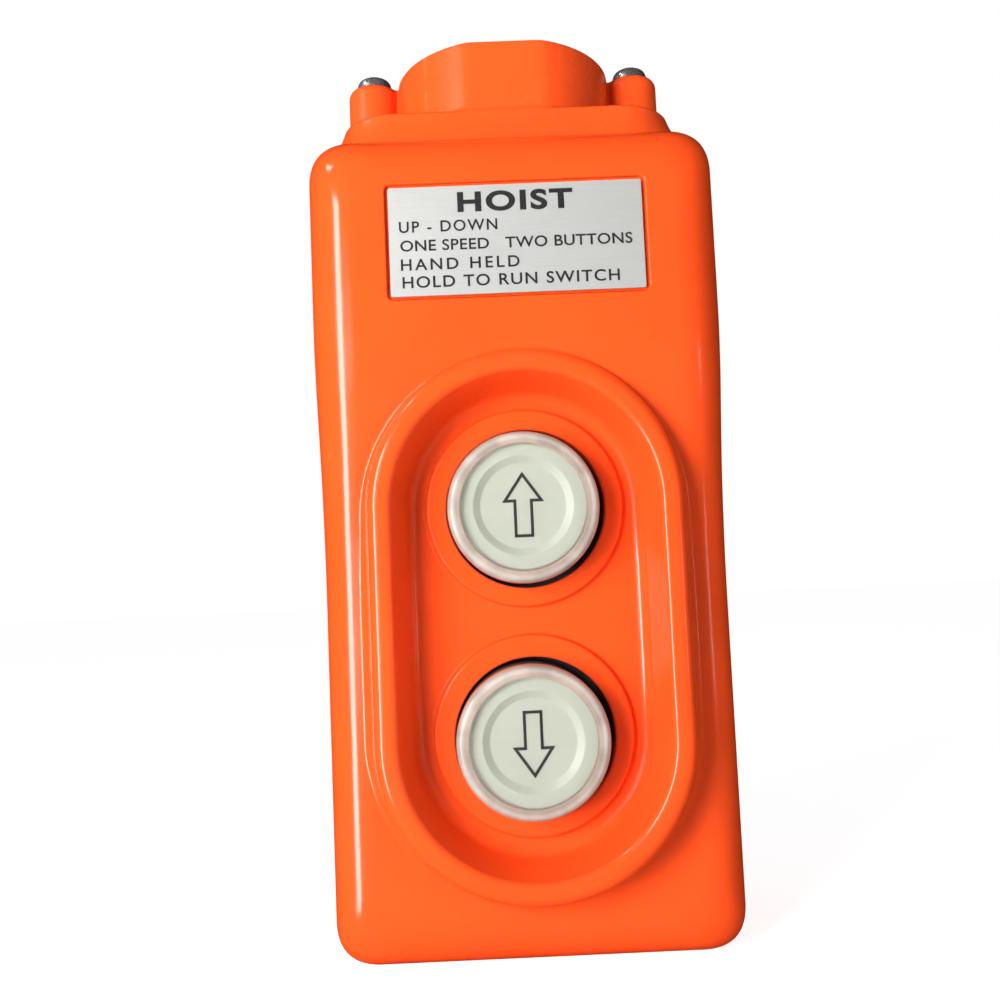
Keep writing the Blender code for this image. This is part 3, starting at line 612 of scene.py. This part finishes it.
class Shader:
    """A material whose nodes are added one by one. Its patterns use the piece's own millimetres."""

    def __init__(self, name):
        self.material = bpy.data.materials.new(name)
        self.material.use_nodes = True
        self.tree = self.material.node_tree
        self.surface = self.tree.nodes["Principled BSDF"]
        place = self.add("ShaderNodeTexCoord")
        scale = self.add("ShaderNodeVectorMath", Vector=place.outputs["Object"])
        scale.operation = "SCALE"
        scale.inputs["Scale"].default_value = 1 / MM
        self.place = scale.outputs["Vector"]

    def add(self, kind, **inputs):
        node = self.tree.nodes.new(kind)
        for name, value in inputs.items():
            self.feed(node.inputs[name.replace("_", " ")], value)
        return node

    def feed(self, socket, value):
        if isinstance(value, bpy.types.NodeSocket):
            self.tree.links.new(value, socket)
        elif isinstance(value, tuple) and socket.type == "RGBA":
            socket.default_value = (*value[:3], 1.0)
        else:
            socket.default_value = value

    def set(self, **inputs):
        for name, value in inputs.items():
            self.feed(self.surface.inputs[name.replace("_", " ")], value)

    def noise(self, scale, detail=3.0, stretch=(1, 1, 1)):
        spread = self.add("ShaderNodeVectorMath", Vector=self.place)
        spread.operation = "MULTIPLY"
        spread.inputs[1].default_value = stretch
        vector = spread.outputs["Vector"]
        return self.add("ShaderNodeTexNoise", Vector=vector, Scale=scale, Detail=detail).outputs["Fac"]

    def remap(self, value, from_low, from_high, to_low, to_high):
        node = self.add("ShaderNodeMapRange", Value=value, From_Min=from_low, From_Max=from_high,
                        To_Min=to_low, To_Max=to_high)
        return node.outputs["Result"]

    def math(self, operation, first, second=0.0):
        node = self.add("ShaderNodeMath")
        node.operation = operation
        self.feed(node.inputs[0], first)
        self.feed(node.inputs[1], second)
        return node.outputs["Value"]

    def mix(self, share, first, second):
        node = self.add("ShaderNodeMix")
        node.data_type = "RGBA"
        self.feed(node.inputs["Factor"], share)
        self.feed(node.inputs[6], first)
        self.feed(node.inputs[7], second)
        return node.outputs[2]

    def bump(self, height, depth, below=None):
        """Adds relief: the height runs from 0 to 1 and the depth is in millimetres."""
        node = self.add("ShaderNodeBump", Height=height, Distance=depth * MM)
        if below is not None:
            self.feed(node.inputs["Normal"], below)
        return node.outputs["Normal"]

    def edges(self, low=0.56, high=0.68):
        """1 on sharp outer edges, 0 on flats and in corners."""
        shape = self.add("ShaderNodeNewGeometry")
        return self.remap(shape.outputs["Pointiness"], low, high, 0.0, 1.0)


def moulded_plastic(name, colour, worn, roughness, specular=0.5):
    """Injection-moulded plastic: mottled colour, orange-peel skin, sink marks and pale rubbed edges."""
    shader = Shader(name)
    mottle = shader.remap(shader.noise(0.07), 0.35, 0.65, 0.0, 1.0)
    darker = tuple(0.93 * channel for channel in colour)
    body = shader.mix(mottle, darker, colour)
    patches = shader.remap(shader.noise(0.5, 5.0), 0.4, 0.7, 0.0, 0.6)
    rubbed = shader.math("MULTIPLY", shader.edges(), patches)
    specks = shader.remap(shader.noise(2.2, 2.0), 0.76, 0.80, 0.0, 0.12)
    worn_share = shader.math("MAXIMUM", rubbed, specks)
    shader.set(Base_Color=shader.mix(worn_share, body, worn))
    scuffs = shader.remap(shader.noise(0.6, 6.0), 0.58, 0.75, 0.0, 0.04)
    gloss = shader.remap(shader.noise(0.12, 4.0), 0.3, 0.7, roughness - 0.02, roughness + 0.02)
    dulled = shader.math("MULTIPLY", rubbed, 0.2)
    shader.set(Roughness=shader.math("ADD", shader.math("ADD", gloss, scuffs), dulled))
    skin = shader.bump(shader.noise(1.6, 2.0), 0.0015)
    sinks = shader.bump(shader.noise(0.05, 1.0), 0.10, skin)
    shader.set(Normal=sinks, IOR=1.5, Specular_IOR_Level=specular)
    return shader.material


def metal(name, colour, roughness, tarnish, scratch=0.004, metallic=1.0):
    """Plated or bare metal: fine scratches, patches of tarnish and brighter edges."""
    shader = Shader(name)
    stain = shader.remap(shader.noise(0.5, 5.0), 0.45, 0.7, 0.0, 0.5)
    body = shader.mix(stain, colour, tarnish)
    bright = tuple(min(1.0, 1.15 * channel) for channel in colour)
    shader.set(Base_Color=shader.mix(shader.edges(), body, bright), Metallic=metallic)
    shader.set(Roughness=shader.remap(shader.noise(1.5, 6.0), 0.3, 0.7, roughness * 0.7, roughness * 1.5))
    lines = shader.noise(3.0, 4.0, (1.0, 1.0, 0.1))
    shader.set(Normal=shader.bump(lines, scratch))
    return shader.material


def rubber(name, colour):
    """Soft matt rubber with a fine grain and a dusty bloom."""
    shader = Shader(name)
    bloom = shader.remap(shader.noise(0.4, 5.0), 0.45, 0.75, 0.0, 1.0)
    shader.set(Base_Color=shader.mix(bloom, colour, tuple(channel + 0.03 for channel in colour)))
    shader.set(Roughness=shader.remap(shader.noise(2.0, 3.0), 0.3, 0.7, 0.62, 0.82))
    shader.set(Normal=shader.bump(shader.noise(6.0, 2.0), 0.01))
    return shader.material


def legend_plastic():
    """The insert: slightly green white moulding with a soft sheen and faint flow marks."""
    shader = Shader("legend_plastic")
    flow = shader.remap(shader.noise(0.16, 3.0), 0.3, 0.7, 0.0, 1.0)
    body = shader.mix(flow, (0.375, 0.395, 0.344), (0.395, 0.415, 0.364))
    dust = shader.remap(shader.noise(3.0, 2.0), 0.72, 0.78, 0.0, 0.4)
    shader.set(Base_Color=shader.mix(dust, body, (0.30, 0.29, 0.24)))
    shader.set(Roughness=shader.remap(shader.noise(0.6, 4.0), 0.3, 0.7, 0.38, 0.5))
    shader.set(Normal=shader.bump(shader.noise(2.4, 2.0), 0.003))
    return shader.material


def clear_plastic():
    """The button's clear cap: a see-through pane with a milky, moulded skirt round it. The skirt's colour
    is painted paler along the middle of the rim as a painted highlight, and pinker and darker towards the
    rim's edges as painted shade.
    """
    shader = Shader("clear_plastic")
    tree = shader.tree
    glass = shader.add("ShaderNodeBsdfTransparent", Color=(0.97, 0.97, 0.96))
    relief = shader.bump(shader.noise(0.35, 3.0), 0.02)
    smears = shader.remap(shader.noise(0.8, 5.0), 0.3, 0.7, 0.03, 0.09)
    shine = shader.add("ShaderNodeBsdfGlossy", Roughness=smears, Normal=relief)
    parts = shader.add("ShaderNodeSeparateXYZ", Vector=shader.place)
    reach = []
    for z in BUTTON_Z.values():
        up = shader.math("SUBTRACT", parts.outputs["Z"], z)
        across = shader.math("SUBTRACT", parts.outputs["X"], BUTTON_X)
        squared = shader.math("ADD", shader.math("POWER", across, 2.0), shader.math("POWER", up, 2.0))
        reach.append(shader.math("SQRT", squared))
    radius = shader.math("MINIMUM", *reach)
    middle_of_rim = (INSERT_RADIUS + LENS_RADIUS) / 2
    off_middle = shader.math("ABSOLUTE", shader.math("SUBTRACT", radius, middle_of_rim))
    # Painted highlight: the skirt's colour is paler along the middle of the rim, and pinker and darker
    # towards its edges as painted shade.
    pale = shader.remap(off_middle, 0.1, 0.6, 1.0, 0.0)
    milk = shader.add("ShaderNodeBsdfTranslucent", Color=(0.66, 0.60, 0.53))
    skirt = shader.mix(pale, (0.44, 0.355, 0.30), (0.58, 0.54, 0.49))
    matt = shader.add("ShaderNodeBsdfDiffuse", Color=skirt)
    cloudy = shader.add("ShaderNodeMixShader", Fac=0.7)
    tree.links.new(milk.outputs[0], cloudy.inputs[1])
    tree.links.new(matt.outputs[0], cloudy.inputs[2])
    rim = shader.remap(radius, INSERT_RADIUS - 0.35, INSERT_RADIUS + 0.05, 0.02, 0.9)
    rim = shader.math("MULTIPLY", rim, shader.remap(shader.noise(0.22, 2.0), 0.38, 0.62, 0.72, 1.0))
    body = shader.add("ShaderNodeMixShader", Fac=rim)
    tree.links.new(glass.outputs[0], body.inputs[1])
    tree.links.new(cloudy.outputs[0], body.inputs[2])
    fresnel = shader.add("ShaderNodeFresnel", IOR=1.49, Normal=relief)
    inner_side = shader.add("ShaderNodeNewGeometry").outputs["Backfacing"]
    facing_out = shader.math("SUBTRACT", 1.0, inner_side)
    coated = shader.add("ShaderNodeMixShader", Fac=shader.math("MULTIPLY", fresnel.outputs[0], facing_out))
    tree.links.new(body.outputs[0], coated.inputs[1])
    tree.links.new(shine.outputs[0], coated.inputs[2])
    tree.links.new(coated.outputs[0], tree.nodes["Material Output"].inputs["Surface"])
    return shader.material


def label_sheet():
    """Silver-white plate: fine brushed grain along its length under a clear lacquer."""
    shader = Shader("label_sheet")
    grain = shader.noise(4.0, 5.0, (0.06, 1.0, 1.0))
    tint = shader.mix(shader.remap(grain, 0.3, 0.7, 0.0, 1.0), (0.385, 0.386, 0.373), (0.405, 0.406, 0.393))
    shader.set(Base_Color=tint, Metallic=0.2, Roughness=shader.remap(grain, 0.3, 0.7, 0.30, 0.40))
    shader.set(Normal=shader.bump(grain, 0.0006))
    return shader.material


def printed_ink():
    """Dark screen-printed ink with slightly thin patches."""
    shader = Shader("printed_ink")
    thin = shader.remap(shader.noise(2.5, 4.0), 0.5, 0.8, 0.0, 0.6)
    shader.set(Base_Color=shader.mix(thin, (0.012, 0.012, 0.013), (0.04, 0.04, 0.04)), Roughness=0.6)
    shader.set(Normal=shader.bump(shader.noise(5.0), 0.002))
    return shader.material


ORANGE = moulded_plastic("case_plastic", (0.80, 0.069, 0.0105), (0.84, 0.13, 0.04), 0.15)
CAP_ORANGE = moulded_plastic("cap_plastic", (0.80, 0.074, 0.0105), (0.84, 0.13, 0.04), 0.28, 0.28)
BLACK_PLASTIC = moulded_plastic("black_plastic", (0.018, 0.018, 0.020), (0.05, 0.05, 0.05), 0.42)
BROWN_PLASTIC = moulded_plastic("block_plastic", (0.090, 0.035, 0.016), (0.16, 0.09, 0.05), 0.45)
BLACK_RUBBER = rubber("black_rubber", (0.014, 0.014, 0.015))
CHROME = metal("plated_steel", (0.70, 0.70, 0.71), 0.24, (0.32, 0.31, 0.30), metallic=0.9)
SPRING_STEEL = metal("spring_steel", (0.46, 0.45, 0.44), 0.24, (0.24, 0.21, 0.18))
BRASS = metal("brass", (0.62, 0.42, 0.14), 0.26, (0.30, 0.18, 0.07))
COPPER = metal("contact_copper", (0.70, 0.36, 0.20), 0.25, (0.34, 0.15, 0.09))
LEGEND = legend_plastic()
CLEAR = clear_plastic()
SHEET = label_sheet()
INK = printed_ink()


# ---------------------------------------------------------------- assembly

def finish_piece(obj, material, body, slot, *replaced):
    """Gives a piece its material and its body, and hides the CAD nodes it stands for."""
    obj.data.materials.clear()
    obj.data.materials.append(material)
    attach(obj, body)
    if replaced:
        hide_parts(*replaced)


def margin(low, high, extra=0.5):
    return low - extra, high + extra


cover = moulded("cover_shell", cover_field, *margin(COVER_LOW, COVER_HIGH), 0.45)
finish_piece(cover, ORANGE, "station", "case_orange", "front_cover")
housing = moulded("housing_shell", housing_field, *margin(HOUSING_LOW, HOUSING_HIGH), 0.55)
finish_piece(housing, ORANGE, "station", "case_orange", "rear_housing")
cap = moulded("cap_shell", cap_field, *margin(CAP_LOW, CAP_HIGH), 0.32, flat_angle=0.1)
finish_piece(cap, CAP_ORANGE, "station", "cap_orange", "cable_cap")
finish_piece(cable_grommet(), BLACK_RUBBER, "station", "black_rubber", "cable_grommet")



def pan_screw(name, head_radius, head_height, shank_radius, length, pitch, cell):
    field = pan_screw_field(head_radius, head_height, shank_radius, length, pitch)
    low, high = (-head_radius, -head_radius, -length), (head_radius, head_radius, head_height)
    return moulded(name, field, low, high, cell)


for side, turn in (("left", 27), ("right", -12)):
    centre = middle(f"cap_screw_{side}")
    bolt = pan_screw(f"cap_bolt_{side}", CAP_HEAD_RADIUS, 2.9, 1.9, 25.0, 0.8, 0.16)
    bolt.location = Vector((centre[0], centre[1], CAP_HEAD_SEAT_Z + SEATED_GAP)) * MM
    bolt.rotation_euler.z = math.radians(turn)
    finish_piece(bolt, CHROME, "station", "plated_steel", f"cap_screw_{side}")
for number, centre in enumerate(CASE_SCREWS, 1):
    bolt = pan_screw(f"case_bolt_{number}", 3.2, 2.4, 1.65, 24.5, 0.7, 0.2)
    bolt.location = Vector((centre[0], HEAD_SEAT_Y + SEATED_GAP, centre[2])) * MM
    bolt.rotation_euler = (-math.pi / 2, math.radians(23 * number), 0.0)
    finish_piece(bolt, CHROME, "station", "plated_steel", f"housing_screw_{number}")

finish_piece(rating_plate(), SHEET, "station", "label_plate", "rating_label")
# Each row's name and words, then its left, top, width, letter height, weight and letter spacing.
ROWS = [("title", "HOIST", 10.75, 1.0, 17.9, 3.25, 0.035, 1.15),
        ("row_1", "UP - DOWN", 1.6, 5.4, 15.2, 1.8, 0.012, 1.2),
        ("row_2", "ONE SPEED   TWO BUTTONS", 1.7, 8.4, 35.9, 1.75, 0.012, 1.05),
        ("row_3", "HAND HELD", 1.7, 11.35, 18.3, 1.8, 0.012, 1.3),
        ("row_4", "HOLD TO RUN SWITCH", 1.85, 14.1, 33.5, 1.85, 0.012, 1.15)]
for name, words, *layout in ROWS:
    finish_piece(lettering(f"label_{name}", words, *layout), INK, "station", "black_plastic")

for name, z in BUTTON_Z.items():
    body = f"{name}_button"
    finish_piece(button_lens(f"{name}_clear_cap", z), CLEAR, body, "clear_lens", f"{name}_button_lens")
    insert = legend_insert(f"{name}_insert", z + INSERT_RISE[name])
    finish_piece(insert, LEGEND, body, "legend_white", f"{name}_legend_insert")
    printed = arrow(f"{name}_arrow", z + ARROW_RISE[name], 1 if name == "up" else -1)
    finish_piece(printed, INK, body, "black_plastic")
    spring = coil_spring(name, z)
    finish_piece(spring, SPRING_STEEL, "station", "spring_steel", f"{name}_return_spring")
    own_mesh(spring)

# A CAD node that still shows takes the finish of the first key in its name.
CAD_FINISH = [("insert", BRASS), ("bridge", COPPER), ("_contact_left", BRASS), ("_contact_right", BRASS),
              ("screw", CHROME), ("gasket", BLACK_RUBBER), ("seal", BLACK_RUBBER),
              ("contact_block", BROWN_PLASTIC)]
for name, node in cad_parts.items():
    if node.hide_render:
        continue
    chosen = next((finish for key, finish in CAD_FINISH if key in name), BLACK_PLASTIC)
    for material_slot in node.material_slots:
        material_slot.material = chosen


# ---------------------------------------------------------------- floor, light and camera

def by_ray(tree, for_camera, for_gloss, for_rest):
    """A strength that depends on the kind of ray."""
    path = tree.nodes.new("ShaderNodeLightPath")
    value = for_rest
    for output, strength in (("Is Glossy Ray", for_gloss), ("Is Camera Ray", for_camera)):
        node = tree.nodes.new("ShaderNodeMix")
        node.inputs["B"].default_value = strength
        if isinstance(value, float):
            node.inputs["A"].default_value = value
        else:
            tree.links.new(value, node.inputs["A"])
        tree.links.new(path.outputs[output], node.inputs["Factor"])
        value = node.outputs["Result"]
    return value


def white_world():
    """White to the camera, dim to everything else, and left out of reflections."""
    world = bpy.data.worlds.new("studio")
    world.use_nodes = True
    back = world.node_tree.nodes["Background"]
    back.inputs["Color"].default_value = (1.0, 1.0, 1.0, 1.0)
    world.node_tree.links.new(by_ray(world.node_tree, 1.0, 0.0, 0.30), back.inputs["Strength"])
    bpy.context.scene.world = world
    world.cycles_visibility.glossy = False


def pale_floor():
    bm = bmesh.new()
    bmesh.ops.create_grid(bm, x_segments=8, y_segments=8, size=4.0)
    mesh = bpy.data.meshes.new("floor")
    bm.to_mesh(mesh)
    bm.free()
    floor = bpy.data.objects.new("floor", mesh)
    bpy.context.scene.collection.objects.link(floor)
    shader = Shader("floor_paper")
    grain = shader.remap(shader.noise(0.3, 4.0), 0.3, 0.7, 0.0, 1.0)
    shader.set(Base_Color=shader.mix(grain, (0.55, 0.55, 0.55), (0.57, 0.57, 0.57)), Roughness=0.9)
    shader.set(Specular_IOR_Level=0.0, Emission_Color=(1.0, 1.0, 1.0))
    shader.set(Emission_Strength=by_ray(shader.tree, 0.82, 0.0, 0.2))
    mesh.materials.append(shader.material)
    floor.visible_glossy = False
    floor.visible_shadow = False


def soft_light(name, turn, rise, distance, size, radiance, diffuse=True, glossy=True):
    """A rectangular lamp round the pendant, facing it.

    Turn is in degrees to the right of straight in front, and rise in degrees above level. Distance
    and size are in metres, and radiance is what a mirror would show of the lamp.
    """
    lamp = bpy.data.lights.new(name, "AREA")
    lamp.shape = "RECTANGLE"
    lamp.size, lamp.size_y = size
    lamp.energy = radiance * math.pi * size[0] * size[1]
    obj = bpy.data.objects.new(name, lamp)
    across, up = math.radians(turn), math.radians(rise)
    out = Vector((math.sin(across) * math.cos(up), -math.cos(across) * math.cos(up), math.sin(up)))
    obj.location = LIT_POINT + out * distance
    obj.rotation_euler = (-out).to_track_quat("-Z", "Y").to_euler()
    obj.visible_camera = False
    obj.visible_diffuse = diffuse
    obj.visible_glossy = glossy
    bpy.context.scene.collection.objects.link(obj)


def front_camera(place, turn, lens):
    """A camera at the photograph's angle. Place is in metres, turn in degrees, lens in millimetres."""
    data = bpy.data.cameras.new("camera")
    data.lens = lens
    data.sensor_width = 36.0
    camera = bpy.data.objects.new("camera", data)
    camera.location = place
    camera.rotation_euler = [math.radians(angle) for angle in turn]
    bpy.context.scene.collection.objects.link(camera)
    bpy.context.scene.camera = camera


LIT_POINT = Vector((0.0, -0.02, 0.07))

white_world()
pale_floor()
soft_light("window", -50, 1, 1.2, (0.26, 1.05), 16.0, diffuse=False)
soft_light("daylight", -40, 4, 0.37, (0.19, 0.23), 23.0, glossy=False)
soft_light("fill", 48, 0, 1.3, (0.6, 0.5), 3.4, glossy=False)
soft_light("right_strip", 62, -2, 1.2, (0.04, 0.22), 8.0, diffuse=False)
soft_light("high_left", -74, 46, 1.1, (0.20, 0.10), 12.0, diffuse=False)

front_camera((-0.005618, -0.188222, 0.058477), (94.628, 2.442, -0.413), 38.54)
bpy.context.scene.view_settings.view_transform = "Standard"
